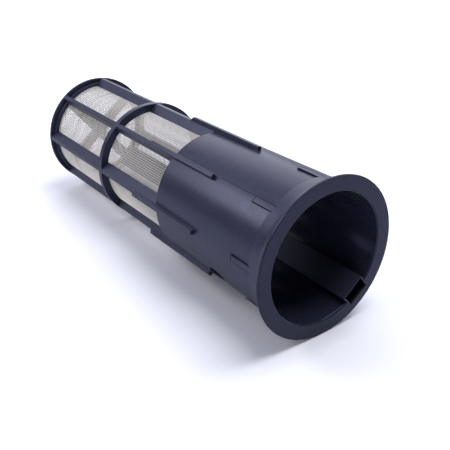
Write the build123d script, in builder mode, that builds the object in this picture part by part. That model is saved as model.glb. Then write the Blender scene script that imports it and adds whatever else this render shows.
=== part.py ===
from build123d import *
import os

os.makedirs("parts", exist_ok=True)

# A strainer for a fuel filler: it stands on its closed end, +Z runs up the axis to the mouth,
# and the front rib points along +X. All sizes are in millimetres and degrees.

# tube, collar, flare and flange, outwards from the lower end of the tube;
# heights under the flange face are counted down from it
length = 243.4             # closed end to the flange face
tube_length = 101.8        # lower end of the tube to the flange face
tube_bottom_radius = 37.5
tube_wall = 4.5            # at the lower end of the bore
tube_slope = 1.2           # how much wider the tube is at its top
collar_height = 6.3
collar_overhang = 0.7      # the small step from the tube out to the collar
collar_slope = 0.8         # how much wider the collar is at its top
flare_height = 6.7
flare_width = 4.1
flare_hollow = 0.7         # how far the flare is hollowed in from a straight cone
flange_lip = 0.7           # flat underside of the rim, outside the flare
flange_edge = 1.4          # straight part of the flange rim
flange_bevel = 0.3
flange_width = 8.8         # width of the flat face of the flange
mouth_bevel = 0.7
mesh_socket = 4.0          # how far the mesh goes up into the tube
mesh_ledge_width = 0.6     # ledge in the bore over the mesh

# cage
ring_depth = 4.9
end_ring_height = 4.9
end_collar_width = 2.2     # inner part of the end ring, which stands up to its full height
end_shelf_height = 2.2     # outer part of the end ring
middle_ring_bottom = 73.6
middle_ring_height = 3.8
rib_inset = 0.3            # how far the face of a rib lies inside the rings
rib_face_width = 2.8
rib_angle = 48             # from one rib to the next
rib_foot = 3.0             # half width of a rib where it meets the mesh
second_rib_foot = 5.6      # the same on the front side of the ribs next to the front one
third_rib_foot = 4.0       # and of the ribs behind those
last_rib_foot = 7.9        # and on the channel side of the last ribs

# arms over the tube, in line with the ribs
arm_start = 24.6           # how far under the tube a rib steps out into its arm
arm_step = 2.4             # height over which it steps out
arm_reach = 39.6           # how far an arm runs up over the tube
arm_rise = 3.0             # height of an arm over the lower end of the tube
arm_root_width = 3.5
arm_face_width = 2.6

# strips under the collar
strip_length = 15.3
strip_rise = 0.7
strip_width = 3.5

# closed end
spoke_width = 7.2
spoke_height = 2.4
shelf_width = 2.6          # shelf round the inside of the end ring

# channel on the inner wall
channel_angle = 181
channel_depth = 1.5        # how far its flat inner face stands in from the bore's lower end
channel_width = 15.8
channel_corner = 2.6
channel_wall = 1.2
slot_width = 11.8
slot_back_wall = 1.1       # wall left between the hollow and the outside of the tube
mouth_slot_width = 3.6     # how far the slot cuts into the face of the flange
mouth_slot_depth = 5.0
mouth_slot_corner = 1.5

# hole in the underside of the tube
hole_angle = 90
hole_drop = 49.4           # its centre under the flange face
hole_radius = 8.5

# mesh
mesh_thickness = 0.6
mesh_rows = 4              # gaps one above the other in each window of the cage
mesh_columns = 2           # gaps side by side in each window
gap_width = 7.4
gap_spacing = 9.6
gap_turn = [1.7, 0.6, -0.6]  # how far the middle of a window lies off the middle of two ribs
gap_bar = 3.2              # bar between two rows
thread_width = 0.7         # an upright thread stands out on the inside in the middle of each window
thread_height = 0.25
floor_thread_pitch = 6.0
floor_thread_edge = 1.2    # bare margin round the threads of the bottom mesh

overlap = 0.5              # how far pieces of the moulding run into each other

rim_bottom = length - flange_edge
flare_bottom = rim_bottom - flare_height
collar_bottom = flare_bottom - collar_height
tube_bottom = length - tube_length
mesh_ledge = tube_bottom + mesh_socket
tube_top_radius = tube_bottom_radius + tube_slope
collar_bottom_radius = tube_top_radius + collar_overhang
flare_bottom_radius = collar_bottom_radius + collar_slope
flare_top_radius = flare_bottom_radius + flare_width
flange_radius = flare_top_radius + flange_lip
mouth_radius = flange_radius - flange_width
bore_bottom_radius = tube_bottom_radius - tube_wall
cage_bore = bore_bottom_radius + mesh_ledge_width   # inside of rings and ribs, where the mesh lies
channel_face = bore_bottom_radius - channel_depth
ring_radius = cage_bore + ring_depth
rib_radius = ring_radius - rib_inset
arm_radius = tube_bottom_radius + arm_rise
arm_root_radius = tube_bottom_radius - overlap
arm_bottom = tube_bottom - arm_start
strip_radius = tube_top_radius + strip_rise
slot_back_radius = tube_bottom_radius - slot_back_wall
mesh_bottom = spoke_height + mesh_thickness

# each rib as its place from front to back and its side, and the half feet at each place
ribs = [(0, 1)] + [(place, side) for place in (1, 2, 3) for side in (1, -1)]
front_feet = [rib_foot, second_rib_foot, third_rib_foot, rib_foot]
back_feet = [rib_foot, rib_foot, rib_foot, last_rib_foot]


def rib_outline(place, side):
    """Corners of one rib seen from the mouth, drawn as if it pointed along +X."""
    foot = cage_bore - 2 * overlap
    half = rib_face_width / 2
    return ((foot, -side * front_feet[place]), (rib_radius, -side * half),
            (rib_radius, side * half), (foot, side * back_feet[place]))


def turned(angle):
    """A place on the axis, turned so that +X points to an angle."""
    return Locations(Location((0, 0, 0), (0, 0, angle)))


# middles of the windows between the ribs, where the mesh shows
windows = [side * ((place + 0.5) * rib_angle + turn)
           for place, turn in enumerate(gap_turn) for side in (1, -1)]

# the box of the channel seen from the mouth
with BuildSketch(Plane.XY.rotated((0, 0, channel_angle))) as channel_box:
    with Locations(((channel_face + slot_back_radius) / 2, 0)):
        box = Rectangle(slot_back_radius - channel_face, channel_width)
    fillet(box.vertices().group_by(Axis.X)[-1], channel_corner)

with BuildPart() as strainer_body:
    # end ring, higher on its inside, and middle ring
    with BuildSketch():
        Circle(ring_radius)
    extrude(amount=end_shelf_height)
    with BuildSketch():
        Circle(cage_bore + end_collar_width)
    extrude(amount=end_ring_height)
    with BuildSketch(Plane.XY.offset(middle_ring_bottom)):
        Circle(ring_radius)
    extrude(amount=middle_ring_height)

    # ribs, with the wider feet that the sideways opening of the mould leaves
    with BuildSketch():
        for place, side in ribs:
            with turned(side * place * rib_angle):
                Polygon(*rib_outline(place, side), align=None)
    extrude(amount=tube_bottom + overlap)

    # back of the channel, a broad rib up to the tube
    with BuildSketch(Plane.XY.rotated((0, 0, channel_angle))):
        with Locations((ring_radius - channel_width / 2, 0)):
            Rectangle(channel_width, channel_width)
        Circle(rib_radius, mode=Mode.INTERSECT)
    extrude(amount=tube_bottom + overlap)

    # room for the mesh
    Cylinder(cage_bore, length, align=(Align.CENTER, Align.CENTER, Align.MIN), mode=Mode.SUBTRACT)

    # tube, collar and flange turned from one profile
    with BuildSketch(Plane.XZ):
        with BuildLine():
            Polyline((cage_bore, mesh_ledge), (cage_bore, tube_bottom), (tube_bottom_radius, tube_bottom),
                     (tube_top_radius, collar_bottom), (collar_bottom_radius, collar_bottom),
                     (flare_bottom_radius, flare_bottom))
            ThreePointArc((flare_bottom_radius, flare_bottom),
                          ((flare_bottom_radius + flare_top_radius) / 2 - flare_hollow,
                           (flare_bottom + rim_bottom) / 2 + flare_hollow),
                          (flare_top_radius, rim_bottom))
            Polyline((flare_top_radius, rim_bottom), (flange_radius, rim_bottom), (flange_radius, length),
                     (mouth_radius, length), (bore_bottom_radius, mesh_ledge), (cage_bore, mesh_ledge))
        section = make_face()
        chamfer(section.vertices().group_by(Axis.X)[-1], flange_bevel)
    revolve(axis=Axis.Z)
    mouth_edges = strainer_body.edges().filter_by(GeomType.CIRCLE).group_by(Axis.Z)[-1]
    chamfer(mouth_edges.sort_by(SortBy.RADIUS)[0], mouth_bevel)

    # arms, trapezoids that run up from the ribs over the tube
    with BuildSketch(Plane.XY.offset(arm_bottom)):
        for place, side in ribs:
            with turned(side * place * rib_angle):
                Polygon((arm_root_radius, -arm_root_width / 2), (arm_radius, -arm_face_width / 2),
                        (arm_radius, arm_face_width / 2), (arm_root_radius, arm_root_width / 2),
                        align=None)
    extrude(amount=arm_start + arm_reach)
    # the sloping step at the foot of every arm
    with BuildSketch(Plane.XZ):
        Polygon((rib_radius, arm_bottom), (arm_radius, arm_bottom + arm_step),
                (arm_radius + overlap, arm_bottom + arm_step), (arm_radius + overlap, arm_bottom),
                align=None)
    revolve(axis=Axis.Z, mode=Mode.SUBTRACT)

    # strips between the arms and the collar
    with BuildSketch(Plane.XY.offset(collar_bottom - strip_length)):
        for place, side in ribs:
            with turned(side * place * rib_angle):
                with Locations(((arm_root_radius + strip_radius) / 2, 0)):
                    Rectangle(strip_radius - arm_root_radius, strip_width)
    extrude(amount=strip_length + overlap)

    # cross and shelf of the closed end
    with BuildSketch():
        Circle(cage_bore + overlap)
        Circle(cage_bore - shelf_width, mode=Mode.SUBTRACT)
        Rectangle(2 * cage_bore, spoke_width)
        Rectangle(spoke_width, 2 * cage_bore)
    extrude(amount=spoke_height)

    # channel along the inner wall, from the closed end to the mouth
    add(channel_box.sketch)
    extrude(amount=length)
    with BuildSketch(Plane.XY.rotated((0, 0, channel_angle))):
        with Locations((channel_face + channel_wall + slot_width / 2, 0)):
            Rectangle(slot_width, slot_width)
        Circle(slot_back_radius, mode=Mode.INTERSECT)
    extrude(amount=length, mode=Mode.SUBTRACT)
    # its slot in the inner edge of the flange
    slot_front, slot_back = channel_face + channel_wall, mouth_radius + mouth_slot_width
    with BuildSketch(Plane.XY.offset(length - mouth_slot_depth).rotated((0, 0, channel_angle))):
        with Locations(((slot_front + slot_back) / 2, 0)):
            slot = Rectangle(slot_back - slot_front, slot_width)
        fillet(slot.vertices().group_by(Axis.X)[0], mouth_slot_corner)
    extrude(amount=mouth_slot_depth, mode=Mode.SUBTRACT)

    # round hole in the underside
    with BuildSketch(Plane.YZ.rotated((0, 0, hole_angle)).offset(tube_bottom_radius)):
        with Locations((0, length - hole_drop)):
            Circle(hole_radius)
    extrude(amount=2 * (tube_bottom_radius - bore_bottom_radius), both=True, mode=Mode.SUBTRACT)

with BuildPart() as side_mesh:
    with BuildSketch(Plane.XY.offset(mesh_bottom)):
        Circle(cage_bore)
        Circle(cage_bore - mesh_thickness, mode=Mode.SUBTRACT)
        for angle in windows:
            with turned(angle):
                with Locations((cage_bore - mesh_thickness, 0)):
                    Rectangle(2 * thread_height, thread_width)
        add(channel_box.sketch, mode=Mode.SUBTRACT)
    extrude(amount=mesh_ledge - mesh_bottom)
    # gaps in every window between two ribs, above and below the middle ring
    lower = (end_ring_height, middle_ring_bottom)
    upper = (middle_ring_bottom + middle_ring_height, tube_bottom)
    for angle in windows:
        for low, high in (lower, upper):
            pitch = (high - low - gap_bar) / mesh_rows
            with BuildSketch(Plane.YZ.rotated((0, 0, angle)).offset(cage_bore - 4 * mesh_thickness)):
                with Locations((0, (low + high) / 2)):
                    with GridLocations(gap_spacing, pitch, mesh_columns, mesh_rows):
                        Rectangle(gap_width, pitch - gap_bar)
            extrude(amount=6 * mesh_thickness, mode=Mode.SUBTRACT)

with BuildPart() as bottom_mesh:
    with BuildSketch(Plane.XY.offset(spoke_height)):
        Circle(cage_bore)
        add(channel_box.sketch, mode=Mode.SUBTRACT)
    extrude(amount=mesh_thickness)
    with BuildSketch(Plane.XY.offset(mesh_bottom)):
        with GridLocations(0, floor_thread_pitch, 1, int(2 * cage_bore / floor_thread_pitch) - 1):
            Rectangle(2 * cage_bore, thread_width)
        Circle(cage_bore - floor_thread_edge, mode=Mode.INTERSECT)
        add(channel_box.sketch, mode=Mode.SUBTRACT)
    extrude(amount=thread_height)

strainer_body.part.label = "strainer body"
side_mesh.part.label = "side mesh"
bottom_mesh.part.label = "bottom mesh"
export_step(strainer_body.part, "parts/strainer_body.step")
export_step(side_mesh.part, "parts/side_mesh.step")
export_step(bottom_mesh.part, "parts/bottom_mesh.step")
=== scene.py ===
from math import atan2, cos, pi, radians, sin, sqrt

import bmesh
import bpy
from mathutils import Matrix, Vector


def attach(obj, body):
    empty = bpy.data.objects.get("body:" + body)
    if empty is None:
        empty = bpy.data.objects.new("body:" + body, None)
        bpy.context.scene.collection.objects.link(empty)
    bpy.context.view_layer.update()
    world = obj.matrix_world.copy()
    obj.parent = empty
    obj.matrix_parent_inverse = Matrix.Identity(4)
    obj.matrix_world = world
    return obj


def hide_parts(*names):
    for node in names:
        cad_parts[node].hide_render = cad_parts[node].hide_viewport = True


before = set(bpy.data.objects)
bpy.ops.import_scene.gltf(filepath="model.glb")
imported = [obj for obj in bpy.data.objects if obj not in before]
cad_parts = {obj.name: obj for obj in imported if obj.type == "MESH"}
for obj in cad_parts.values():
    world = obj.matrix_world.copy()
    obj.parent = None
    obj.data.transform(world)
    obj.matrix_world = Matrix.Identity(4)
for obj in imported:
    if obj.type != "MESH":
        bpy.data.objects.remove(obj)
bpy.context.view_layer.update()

# The camera looks into the mouth from above, 12 degrees round from the front rib. The strainer
# lies on its side in the photograph, so the camera is rolled and the part is not.
camera = bpy.data.objects.new("camera", bpy.data.cameras.new("camera"))
bpy.context.scene.collection.objects.link(camera)
camera.data.lens = 56.42
camera.data.clip_start = 0.01
camera_place = Vector((0.278509, 0.05993, 0.457338))
camera_axes = Matrix(((-0.51040705, -0.61796995, 0.5979948),
                      (0.51167331, -0.77714722, -0.3663777),
                      (0.69114041, 0.11897622, 0.71286015)))
camera.matrix_world = Matrix.Translation(camera_place) @ camera_axes.transposed().to_4x4()
bpy.context.scene.camera = camera


# The body is one injection moulding in dark slate grey nylon: flange, flared tube, arms, ribs, rings,
# closed end and the channel on the inner wall. Its shape is the CAD node's, with the edges rounded a
# little as the mould leaves them.
edge_round = 0.00028
rib_spacing = radians(48)
channel_angle = radians(181)


def node(tree, kind, settings=None, **links):
    """Adds a node with its settings, its socket values and its links. A name such as i0 is the number
    of a socket, and an underscore in any other name stands for a space."""
    made = tree.nodes.new(kind)
    for name, value in (settings or {}).items():
        setattr(made, name, value)
    for name, value in links.items():
        numbered = name[0] == "i" and name[1:].isdigit()
        socket = made.inputs[int(name[1:]) if numbered else name.replace("_", " ")]
        if isinstance(value, bpy.types.NodeSocket):
            tree.links.new(value, socket)
        else:
            socket.default_value = value
    return made


def colour(code):
    """A hex sRGB colour as linear red, green, blue and alpha."""
    parts = [int(code[i:i + 2], 16) / 255 for i in (1, 3, 5)]
    return tuple(c / 12.92 if c <= 0.04045 else ((c + 0.055) / 1.055) ** 2.4 for c in parts) + (1,)


def new_material(name):
    """An empty material with a Principled shader joined to its output."""
    material = bpy.data.materials.new(name)
    material.use_nodes = True
    tree = material.node_tree
    tree.nodes.clear()
    shader = node(tree, "ShaderNodeBsdfPrincipled")
    node(tree, "ShaderNodeOutputMaterial", Surface=shader.outputs[0])
    return material, tree, shader


# Moulded nylon, dark slate with a blue cast: a satin skin with a broad soft shine. Its colour is cloudy
# over 17 mm and its shine over 6 mm. The grain of the mould is finer than shows, so it is drawn 1.1 mm
# coarse.
moulded, tree, shader = new_material("moulded slate nylon")
place = node(tree, "ShaderNodeTexCoord").outputs["Object"]
cloud = node(tree, "ShaderNodeTexNoise", Vector=place, Scale=60, Detail=3.0, Roughness=0.55)
tint = node(tree, "ShaderNodeMix", {"data_type": "RGBA"}, Factor=cloud.outputs["Fac"],
            i6=colour("#262837"), i7=colour("#2C2E3F"))
grain = node(tree, "ShaderNodeTexNoise", Vector=place, Scale=900, Detail=1.0)
speckle = node(tree, "ShaderNodeMix", {"data_type": "RGBA", "blend_type": "SOFT_LIGHT"}, Factor=0.7,
               i6=tint.outputs[2], i7=grain.outputs["Color"])
shader.inputs["IOR"].default_value = 1.53
shader.inputs["Specular Tint"].default_value = colour("#D2D4FF")
sheen_cloud = node(tree, "ShaderNodeTexNoise", Vector=place, Scale=160, Detail=4.0)
satin = node(tree, "ShaderNodeMapRange", Value=sheen_cloud.outputs["Fac"], To_Min=0.27, To_Max=0.34)

# The core of the mould is polished, so the inner wall of the tube, 32.6 to 37.2 mm from the axis, shines
# more sharply and shows less grain. What lies nearer the axis, the face of the channel and the cross of
# the closed end, is duller.
wall_radius, wall_reach = 0.0349, 0.0023
tube_foot = 0.143
wall_gloss, channel_gloss = 0.2, 0.5
spot = node(tree, "ShaderNodeSeparateXYZ", Vector=place)
from_axis = node(tree, "ShaderNodeVectorMath", {"operation": "MULTIPLY"}, i0=place, i1=(1, 1, 0))
radius = node(tree, "ShaderNodeVectorMath", {"operation": "LENGTH"}, i0=from_axis.outputs[0]).outputs["Value"]
inner = node(tree, "ShaderNodeMath", {"operation": "COMPARE"}, i0=radius, i1=wall_radius,
             i2=wall_reach)
in_tube = node(tree, "ShaderNodeMath", {"operation": "GREATER_THAN"}, i0=spot.outputs["Z"],
               i1=tube_foot)
cored = node(tree, "ShaderNodeMath", {"operation": "MULTIPLY"}, i0=inner.outputs[0], i1=in_tube.outputs[0])
polish = node(tree, "ShaderNodeMix", Factor=cored.outputs[0], i2=satin.outputs[0], i3=wall_gloss)
channel = node(tree, "ShaderNodeMath", {"operation": "LESS_THAN"}, i0=radius,
               i1=wall_radius - wall_reach)
dull = node(tree, "ShaderNodeMix", Factor=channel.outputs[0], i2=polish.outputs[0], i3=channel_gloss)
tree.links.new(dull.outputs[0], shader.inputs["Roughness"])
relief = node(tree, "ShaderNodeMapRange", Value=cored.outputs[0], To_Min=0.3, To_Max=0.05)
bump = node(tree, "ShaderNodeBump", Height=grain.outputs["Fac"], Strength=relief.outputs[0], Distance=0.00006)
tree.links.new(bump.outputs[0], shader.inputs["Normal"])

# Fine dark lines run round the foot and the brow of each strip below the collar. They are painted shade where
# the strip's edges meet the tube and where they turn over, and the shine is taken off along them. A fainter
# one, where the halves of the mould met, runs on from the front strip to its arm, and another down the back;
# it loses its shine too. They are drawn about 0.4 mm wide, which is as fine as shows. A reach is how far a
# band runs to each side of its middle.
side_middle, side_reach = 0.00172, 0.0002
run_middle, run_reach = 0.2226, 0.0077
end_middle, end_reach, end_half_width = 0.21515, 0.0002, 0.0019
foot_radius, foot_reach = 0.0384, 0.0005
brow_radius, brow_reach = 0.03945, 0.00015
joint_middle, joint_reach = -0.0018, 0.00017
joint_run_middle, joint_run_reach = 0.2, 0.015
joint_strength = 0.7
turn = node(tree, "ShaderNodeMath", {"operation": "ARCTAN2"}, i0=spot.outputs["Y"], i1=spot.outputs["X"])
off_strip = node(tree, "ShaderNodeMath", {"operation": "PINGPONG"}, i0=turn.outputs[0], i1=rib_spacing / 2)
beside = node(tree, "ShaderNodeMath", {"operation": "MULTIPLY"}, i0=off_strip.outputs[0], i1=radius)
side_shade_line = node(tree, "ShaderNodeMath", {"operation": "COMPARE"}, i0=beside.outputs[0],
                 i1=side_middle, i2=side_reach)
side_run = node(tree, "ShaderNodeMath", {"operation": "COMPARE"}, i0=spot.outputs["Z"],
                i1=run_middle, i2=run_reach)
sides = node(tree, "ShaderNodeMath", {"operation": "MULTIPLY"}, i0=side_shade_line.outputs[0],
             i1=side_run.outputs[0])
end_shade_line = node(tree, "ShaderNodeMath", {"operation": "COMPARE"}, i0=spot.outputs["Z"],
                i1=end_middle, i2=end_reach)
within = node(tree, "ShaderNodeMath", {"operation": "LESS_THAN"}, i0=beside.outputs[0],
              i1=end_half_width)
end = node(tree, "ShaderNodeMath", {"operation": "MULTIPLY"}, i0=end_shade_line.outputs[0], i1=within.outputs[0])
strip_shade_outline = node(tree, "ShaderNodeMath", {"operation": "MAXIMUM"}, i0=sides.outputs[0], i1=end.outputs[0])
joint = node(tree, "ShaderNodeMath", {"operation": "COMPARE"}, i0=spot.outputs["Y"],
             i1=joint_middle, i2=joint_reach)
joint_run = node(tree, "ShaderNodeMath", {"operation": "COMPARE"}, i0=spot.outputs["Z"],
                 i1=joint_run_middle, i2=joint_run_reach)
joint_line = node(tree, "ShaderNodeMath", {"operation": "MULTIPLY"}, i0=joint.outputs[0],
                  i1=joint_run.outputs[0])
faint = node(tree, "ShaderNodeMath", {"operation": "MULTIPLY"}, i0=joint_line.outputs[0],
             i1=joint_strength)
shade_and_joint_lines = node(tree, "ShaderNodeMath", {"operation": "MAXIMUM"}, i0=strip_shade_outline.outputs[0], i1=faint.outputs[0])
foot = node(tree, "ShaderNodeMath", {"operation": "COMPARE"}, i0=radius, i1=foot_radius,
            i2=foot_reach)
brow = node(tree, "ShaderNodeMath", {"operation": "COMPARE"}, i0=radius, i1=brow_radius,
            i2=brow_reach)
outside = node(tree, "ShaderNodeMath", {"operation": "MAXIMUM"}, i0=foot.outputs[0], i1=brow.outputs[0])
drawn_shade_and_joint = node(tree, "ShaderNodeMath", {"operation": "MULTIPLY"}, i0=shade_and_joint_lines.outputs[0], i1=outside.outputs[0])
# Painted shade: along the lines the colour is darkened nearly to black.
shade_lined_colour = node(tree, "ShaderNodeMix", {"data_type": "RGBA"}, Factor=drawn_shade_and_joint.outputs[0],
             i6=speckle.outputs[2], i7=colour("#0B0B12"))
tree.links.new(shade_lined_colour.outputs[2], shader.inputs["Base Color"])
# Painted shade: along the lines the shine is taken off.
shine_off_at_shade_lines = node(tree, "ShaderNodeMapRange", Value=drawn_shade_and_joint.outputs[0], To_Min=0.42, To_Max=0.0)
tree.links.new(shine_off_at_shade_lines.outputs[0], shader.inputs["Specular IOR Level"])

moulding = bmesh.new()
moulding.from_mesh(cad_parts["strainer_body"].data)
bmesh.ops.remove_doubles(moulding, verts=moulding.verts, dist=0.000002)
bmesh.ops.dissolve_limit(moulding, angle_limit=radians(0.4), verts=moulding.verts, edges=moulding.edges)
# The flat faces of the rings nearly close on themselves and would fill in, so they are split again.
ring_corners = 50
bmesh.ops.connect_verts_concave(moulding, faces=[f for f in moulding.faces if len(f.verts) > ring_corners])

# At the mouth the slot of the channel is a little wider than in the CAD node and its wall is thinner.
slot_wider = 1.12
wall_thinner = 0.4
slot_foot = 238.2
slot_near, slot_far, slot_half_width = 32.2, 39.9, 6
wall_back = 34.5
channel_frame = Matrix.Rotation(-channel_angle, 3, "Z")
for vert in moulding.verts:
    near, wide, high = channel_frame @ vert.co * 1000
    if high > slot_foot and slot_near < near < slot_far and abs(wide) < slot_half_width:
        wide *= slot_wider
        near -= wall_thinner if near < wall_back else 0
        vert.co = channel_frame.transposed() @ Vector((near, wide, high)) / 1000

# The outer edges are rounded, but not those of the strips, nor the very short ones.
strip_radius = 0.0375
strip_foot, strip_shoulder, strip_top = 0.2125, 0.2302, 0.2306
sharp = radians(25)
shortest = 0.0005


def is_strip(edge):
    """The strips below the collar keep crisp edges."""
    heights = [v.co.z for v in edge.verts]
    on_outside = min(v.co.xy.length for v in edge.verts) > strip_radius
    return on_outside and strip_foot < min(heights) < strip_shoulder and max(heights) < strip_top


outer_edges = [e for e in moulding.edges if e.is_manifold and e.is_convex and not is_strip(e)
               and e.calc_face_angle() > sharp and e.calc_length() > shortest]
rounded = set(bmesh.ops.bevel(moulding, geom=outer_edges, offset=edge_round, offset_type="OFFSET",
                              affect="EDGES", segments=1, profile=0.5, material=-1,
                              clamp_overlap=False)["faces"])

# Surfaces turned round the axis shade as true rounds: the direction they face, outwards and upwards.
most_sideways = 0.06
widest_facet = radians(9)
turned = {}
for face in moulding.faces:
    first = atan2(face.verts[0].co.y, face.verts[0].co.x)
    turns = [(atan2(v.co.y, v.co.x) - first + pi) % (2 * pi) - pi for v in face.verts]
    middle = first + (min(turns) + max(turns)) / 2
    sideways = face.normal.y * cos(middle) - face.normal.x * sin(middle)
    if abs(sideways) < most_sideways and max(turns) - min(turns) < widest_facet:
        turned[face] = Vector((face.normal.x * cos(middle) + face.normal.y * sin(middle), face.normal.z))

# Facets blend where they turn by less than 18 degrees on a turned surface, or 14 on a small round.
narrow_width = 0.0016
same_round, same_corner = 0.95, 0.97


def is_narrow(face):
    """Facets of the small rounds: the corners of the channel and the wall of the hole."""
    return face.calc_area() / max(e.calc_length() for e in face.edges) < narrow_width


def facing(face, vert):
    """The direction a face shades in at one of its corners."""
    if face in turned:
        near = [turned[f] for f in vert.link_faces if f in turned
                and turned[f].dot(turned[face]) > same_round]
        out = sum(near, Vector((0, 0)))
        turn = atan2(vert.co.y, vert.co.x)
        return Vector((out.x * cos(turn), out.x * sin(turn), out.y)).normalized()
    if is_narrow(face):
        return sum((f.normal for f in vert.link_faces if f not in turned and is_narrow(f)
                    and f.normal.dot(face.normal) > same_corner), Vector()).normalized()
    return face.normal.copy()


# A rounded edge blends between the faces beside it.
shading = []
for face in moulding.faces:
    for vert in face.verts:
        beside = [f for f in vert.link_faces if f not in rounded] if face in rounded else [face]
        shading.append(sum((facing(f, vert) for f in beside or [face]), Vector()).normalized())

body_mesh = bpy.data.meshes.new("moulded_body")
moulding.to_mesh(body_mesh)
moulding.free()
body_mesh.polygons.foreach_set("use_smooth", [True] * len(body_mesh.polygons))
body_mesh.normals_split_custom_set(shading)
body = bpy.data.objects.new("moulded_body", body_mesh)
bpy.context.scene.collection.objects.link(body)
body.data.materials.append(moulded)
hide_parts("strainer_body")
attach(body, "root")


# The mesh is woven from clear nylon thread, pale warm grey, laid inside the ribs while the body was
# moulded round it. The real threads stand about 1.25 mm apart and go over and under each other, which
# is too fine to show. Here they stand 1.35 mm apart and the upright ones touch the outside of the hoops.
thread_pitch = 1.35
thread = 0.4
sleeve_radius = 33.3
sleeve_low, sleeve_high = 3.0, 145.4
channel_half = radians(13.6)
hoop_steps = 92

# Clear nylon thread: light passes into it and scatters, so it looks a soft pale grey, slightly cloudy
# over 14 mm. A darker band of painted shade stands for the shadow in a crease; it slants a little as it runs
# round, 27 mm above the closed end.
crease_height, crease_reach, crease_slant = 0.0266, 0.0004, -0.05
woven, tree, shader = new_material("woven nylon thread")
place = node(tree, "ShaderNodeTexCoord").outputs["Object"]
haze = node(tree, "ShaderNodeTexNoise", Vector=place, Scale=70, Detail=3.0)
tint = node(tree, "ShaderNodeMix", {"data_type": "RGBA"}, Factor=haze.outputs["Fac"],
            i6=colour("#C2BEB9"), i7=colour("#D2CEC9"))
level = node(tree, "ShaderNodeVectorMath", {"operation": "DOT_PRODUCT"}, i0=place,
             i1=(0, crease_slant, 1))
# Painted shade of the crease: a band where the thread's colour is darker.
crease_shade_band = node(tree, "ShaderNodeMath", {"operation": "COMPARE"}, i0=level.outputs["Value"],
              i1=crease_height, i2=crease_reach)
crease_shaded_colour = node(tree, "ShaderNodeMix", {"data_type": "RGBA"}, Factor=crease_shade_band.outputs[0],
               i6=tint.outputs[2], i7=colour("#7A7775"))
tree.links.new(crease_shaded_colour.outputs[2], shader.inputs["Base Color"])
shader.inputs["Roughness"].default_value = 0.45
shader.inputs["IOR"].default_value = 1.53
shader.inputs["Subsurface Weight"].default_value = 0.8
shader.inputs["Subsurface Radius"].default_value = (1, 1, 1)
shader.inputs["Subsurface Scale"].default_value = 0.0006


def finish_mesh(bm, name, replaced):
    """A finished piece of the mesh from a bmesh drawn in millimetres, in place of a CAD node."""
    bmesh.ops.scale(bm, vec=(0.001, 0.001, 0.001), verts=bm.verts)
    bmesh.ops.recalc_face_normals(bm, faces=bm.faces)
    mesh = bpy.data.meshes.new(name)
    bm.to_mesh(mesh)
    bm.free()
    mesh.polygons.foreach_set("use_smooth", [True] * len(mesh.polygons))
    piece = bpy.data.objects.new(name, mesh)
    bpy.context.scene.collection.objects.link(piece)
    mesh.materials.append(woven)
    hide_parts(replaced)
    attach(piece, "root")


def thread_end(bm, centre, axes):
    """The four-sided cross-section of one thread, round a centre."""
    a, b = (Vector(v) * thread / 2 for v in axes)
    centre = Vector(centre)
    return [bm.verts.new(centre + p) for p in (a, b, -a, -b)]


def points(geometry):
    """The vertices among what an operator gives back."""
    return [v for v in geometry if isinstance(v, bmesh.types.BMVert)]


sleeve = bmesh.new()
start, sweep = channel_angle + channel_half, 2 * pi - 2 * channel_half
first_hoop = (sleeve_radius * cos(start), sleeve_radius * sin(start), sleeve_low + thread_pitch / 2)
hoop = thread_end(sleeve, first_hoop, ((cos(start), sin(start), 0), (0, 0, 1)))
hoop_edges = [sleeve.edges.new((hoop[i], hoop[(i + 1) % 4])) for i in range(4)]
bmesh.ops.spin(sleeve, geom=hoop + hoop_edges, cent=(0, 0, 0), axis=(0, 0, 1), dvec=(0, 0, 0),
               angle=sweep, steps=hoop_steps, use_duplicate=False)
one_hoop = list(sleeve.verts) + list(sleeve.edges) + list(sleeve.faces)
for i in range(1, int((sleeve_high - sleeve_low) / thread_pitch)):
    copy = bmesh.ops.duplicate(sleeve, geom=one_hoop)["geom"]
    bmesh.ops.translate(sleeve, vec=(0, 0, i * thread_pitch), verts=points(copy))
uprights = int(sweep * sleeve_radius / thread_pitch)
upright_radius = sleeve_radius + thread * 0.45
for i in range(uprights + 1):
    turn = start + sweep * i / uprights
    ends = thread_end(sleeve, (upright_radius * cos(turn), upright_radius * sin(turn), sleeve_low),
                      ((cos(turn), sin(turn), 0), (-sin(turn), cos(turn), 0)))
    face = sleeve.faces.new(ends)
    top = bmesh.ops.extrude_face_region(sleeve, geom=[face])["geom"]
    bmesh.ops.translate(sleeve, vec=(0, 0, sleeve_high - sleeve_low), verts=points(top))

# A folded hem edges the sleeve at the closed end.
hem_inside, hem_outside, hem_top = 33.2, 33.7, 5.6
hem = [sleeve.verts.new((radius * cos(start), radius * sin(start), height))
       for radius, height in ((hem_inside, sleeve_low), (hem_outside, sleeve_low),
                              (hem_outside, hem_top), (hem_inside, hem_top))]
hem_edges = [sleeve.edges.new((hem[i], hem[(i + 1) % 4])) for i in range(4)]
bmesh.ops.spin(sleeve, geom=hem + hem_edges, cent=(0, 0, 0), axis=(0, 0, 1), dvec=(0, 0, 0),
               angle=sweep, steps=hoop_steps, use_duplicate=False)
finish_mesh(sleeve, "woven_sleeve", "side_mesh")

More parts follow.
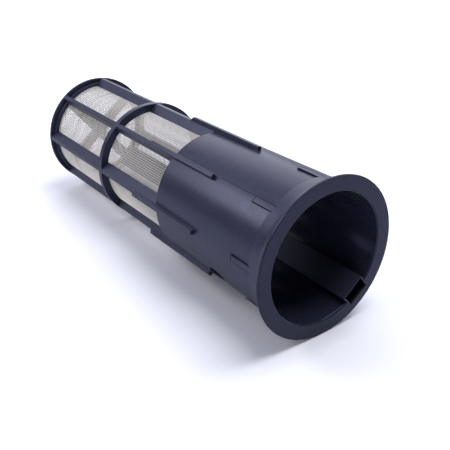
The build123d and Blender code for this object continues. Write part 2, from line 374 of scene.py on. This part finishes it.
# The same mesh closes the bottom. It lies on the cross and the shelf of the closed end, and is cut
# straight along the channel. One set of threads lies on the other.
bottom_radius = 33.2
bottom_height = 2.7
straight_side = -31.3
layer = 0.16
bottom = bmesh.new()
rows = int(bottom_radius / thread_pitch)
for across in (False, True):
    for i in range(-rows, rows + 1):
        offset = i * thread_pitch
        reach = sqrt(bottom_radius ** 2 - offset ** 2)
        if across and offset < straight_side:
            continue
        if across:
            ends = thread_end(bottom, (offset, -reach, bottom_height + layer), ((1, 0, 0), (0, 0, 1)))
            run = (0, 2 * reach, 0)
        else:
            low = max(-reach, straight_side)
            ends = thread_end(bottom, (low, offset, bottom_height - layer), ((0, 1, 0), (0, 0, 1)))
            run = (reach - low, 0, 0)
        face = bottom.faces.new(ends)
        top = bmesh.ops.extrude_face_region(bottom, geom=[face])["geom"]
        bmesh.ops.translate(bottom, vec=run, verts=points(top))
finish_mesh(bottom, "woven_bottom", "bottom_mesh")


# A plain white floor under the strainer as it lies: it touches the flange rim and the end ring. Matt
# white, it glows white for the camera away from the strainer, a painted brightness that fades near it so that
# its lit floor and shadow show there, and reflections see it greyer than it is, a painted darker reflection.
above = Vector((0.78327269, -0.62110485, 0.02669549))
axis_height = 0.0385
floor_point = above * -axis_height
shade_reach, white_from = 0.12, 0.42
ground = bmesh.new()
bmesh.ops.create_grid(ground, x_segments=1, y_segments=1, size=4)
bmesh.ops.transform(ground, matrix=above.to_track_quat("Z", "Y").to_matrix().to_4x4(), verts=ground.verts)
bmesh.ops.translate(ground, vec=floor_point, verts=ground.verts)
mesh = bpy.data.meshes.new("floor")
ground.to_mesh(mesh)
ground.free()
floor = bpy.data.objects.new("floor", mesh)
bpy.context.scene.collection.objects.link(floor)
white, tree, shader = new_material("white studio floor")
rays = node(tree, "ShaderNodeLightPath")
# Painted reflection: glossy rays see the floor greyer than its own colour.
paper_dimmed_in_reflection = node(tree, "ShaderNodeMix", {"data_type": "RGBA"}, Factor=rays.outputs["Is Glossy Ray"],
             i6=colour("#F6F7FF"), i7=colour("#B8BAC4"))
tree.links.new(paper_dimmed_in_reflection.outputs[2], shader.inputs["Base Color"])
place = node(tree, "ShaderNodeTexCoord").outputs["Object"]
away = node(tree, "ShaderNodeVectorMath", {"operation": "DISTANCE"}, i0=place,
            i1=tuple(floor_point + Vector((0, 0, 0.12))))
far = node(tree, "ShaderNodeMapRange", {"interpolation_type": "SMOOTHSTEP"}, Value=away.outputs["Value"],
           From_Min=shade_reach, From_Max=white_from, To_Min=0.02, To_Max=1.0)
# Painted brightness: the camera sees the floor glow, fading out near the strainer.
camera_only_glow = node(tree, "ShaderNodeMath", {"operation": "MULTIPLY"}, i0=rays.outputs["Is Camera Ray"],
            i1=far.outputs[0])
tree.links.new(camera_only_glow.outputs[0], shader.inputs["Emission Strength"])
shader.inputs["Emission Color"].default_value = colour("#F0F1FF")
shader.inputs["Roughness"].default_value = 0.9
shader.inputs["Specular IOR Level"].default_value = 0.1
# Its underside lets the view through, so that it never hides the strainer.
through = node(tree, "ShaderNodeBsdfTransparent")
underside = node(tree, "ShaderNodeNewGeometry").outputs["Backfacing"]
one_sided = node(tree, "ShaderNodeMixShader", i0=underside, i1=shader.outputs[0], i2=through.outputs[0])
tree.links.new(one_sided.outputs[0], tree.nodes["Material Output"].inputs["Surface"])
mesh.materials.append(white)

# The room is bright above and behind the closed end, and dim in front of the mouth. The camera sees it
# as plain white.
room_dim, room_bright = 0.03, 0.85
along = (Vector((0, 0, 1)) - above * above.z).normalized()
side = above.cross(along)


def from_middle(up, forward, sideways):
    """A direction given upwards from the floor, towards the mouth and sideways."""
    return (above * up + along * forward + side * sideways).normalized()


world = bpy.data.worlds.new("studio")
bpy.context.scene.world = world
world.use_nodes = True
tree = world.node_tree
tree.nodes.clear()
way = node(tree, "ShaderNodeTexCoord").outputs["Generated"]
bright_way = from_middle(0.8, -0.5, 0.33)
towards = node(tree, "ShaderNodeVectorMath", {"operation": "DOT_PRODUCT"}, i0=way, i1=bright_way)
room = node(tree, "ShaderNodeMapRange", {"interpolation_type": "SMOOTHSTEP"}, Value=towards.outputs["Value"],
            From_Min=0.25, From_Max=0.9, To_Min=room_dim, To_Max=room_bright)
rays = node(tree, "ShaderNodeLightPath")
seen = node(tree, "ShaderNodeMath", {"operation": "MAXIMUM"},
            i0=rays.outputs["Is Camera Ray"], i1=rays.outputs["Is Transmission Ray"])
strength = node(tree, "ShaderNodeMapRange", Value=seen.outputs[0], To_Min=room.outputs[0], To_Max=1.0)
daylight = node(tree, "ShaderNodeMix", {"data_type": "RGBA"}, Factor=seen.outputs[0],
                i6=colour("#E3E6FF"), i7=(1, 1, 1, 1))
sky = node(tree, "ShaderNodeBackground", Color=daylight.outputs[2], Strength=strength.outputs[0])
node(tree, "ShaderNodeOutputWorld", Surface=sky.outputs[0])

# Three soft boxes, one above and two behind, and a wide fill low on the left that leaves no shine. Each
# stands 1 m off and faces the lower end of the tube.
aim = Vector((0, 0, 0.15))
lamps = (("top box", from_middle(0.95, 0.14, 0.25), 0.8, 0.45, 8.0),
         ("left box", from_middle(0.55, -0.52, -0.5), 0.4, 0.5, 3.2),
         ("right box", from_middle(0.44, -0.66, 0.55), 0.8, 0.8, 2.0),
         ("low fill", from_middle(0.06, -0.15, -0.98), 0.16, 1.0, 4.6))
for name, way, width, length, power in lamps:
    lamp = bpy.data.objects.new(name, bpy.data.lights.new(name, "AREA"))
    bpy.context.scene.collection.objects.link(lamp)
    lamp.data.shape = "RECTANGLE"
    lamp.data.size = width
    lamp.data.size_y = length
    lamp.data.energy = power
    lamp.visible_glossy = name != "low fill"
    across = along.cross(way).normalized()
    axes = Matrix((across, way.cross(across), way)).transposed()
    lamp.matrix_world = Matrix.Translation(aim + way) @ axes.to_4x4()

bpy.context.scene.view_settings.view_transform = "Standard"
